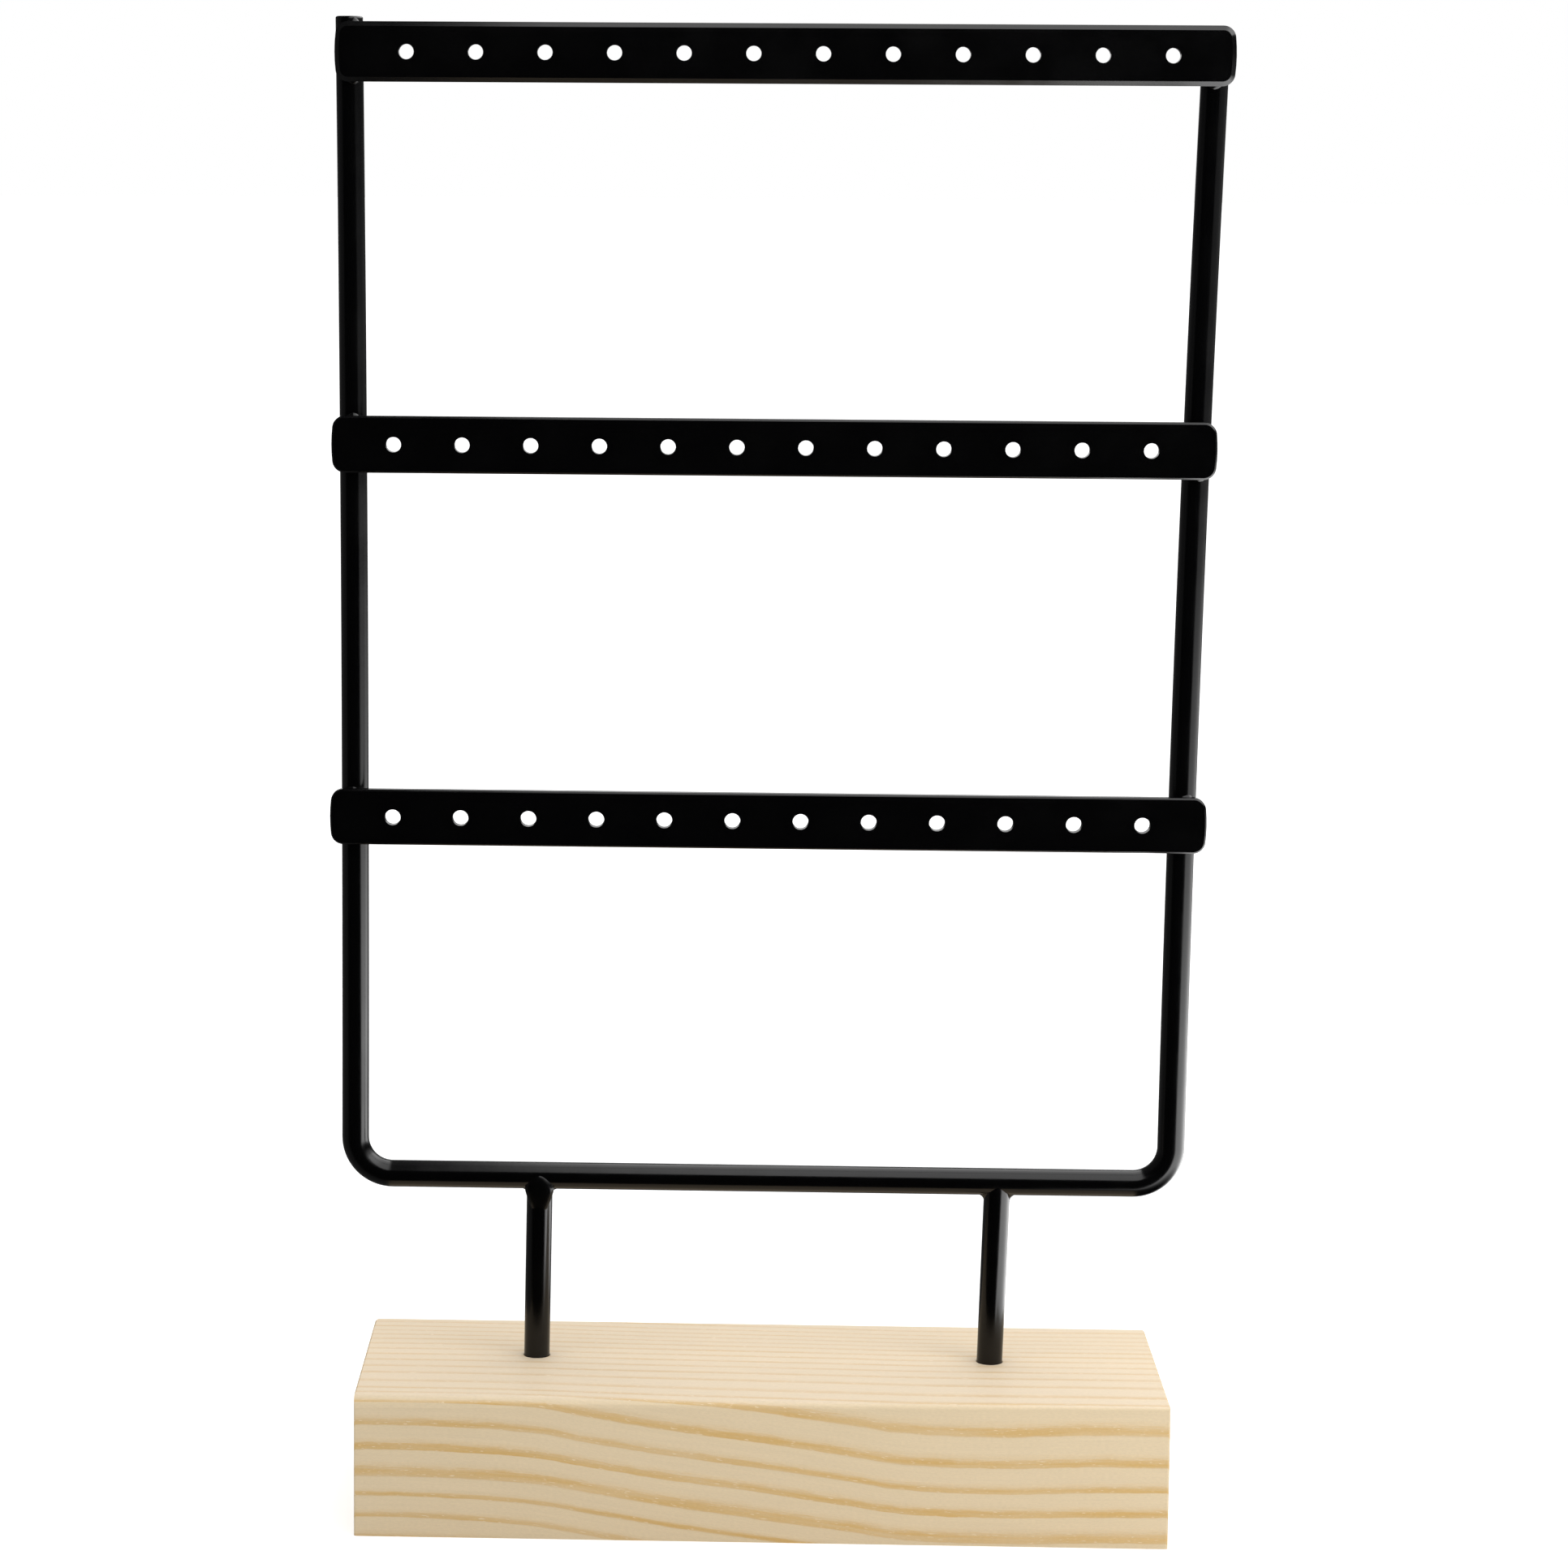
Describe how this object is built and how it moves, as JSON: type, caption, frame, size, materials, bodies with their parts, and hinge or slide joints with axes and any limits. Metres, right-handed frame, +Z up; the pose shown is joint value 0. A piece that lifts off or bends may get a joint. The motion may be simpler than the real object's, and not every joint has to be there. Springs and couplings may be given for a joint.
{
  "type": "earring display stand",
  "caption": "Free-standing earring display: flat strips with rows of small holes, welded across an open U of round wire on short posts in a pine block.",
  "frame": {"origin": "centre of the pine block's underside, which stands on the table", "axes": "+X to the right along the strips, +Y to the back, +Z up; the strips' faces look along -Y"},
  "size_m": [0.1628, 0.05, 0.275],
  "materials": {
    "pine": "bare sanded pine",
    "black_coating": "satin black powder coat"
  },
  "bodies": {
    "root": {"base_block": "pine", "left_post": "black_coating", "right_post": "black_coating", "frame_wire": "black_coating", "top_bar": "black_coating", "middle_bar": "black_coating", "bottom_bar": "black_coating", "left_post_weld": "black_coating", "right_post_weld": "black_coating", "top_left_weld": "black_coating", "top_right_weld": "black_coating", "middle_left_weld": "black_coating", "middle_right_weld": "black_coating", "bottom_left_weld": "black_coating", "bottom_right_weld": "black_coating"}
  },
  "joints": []
}
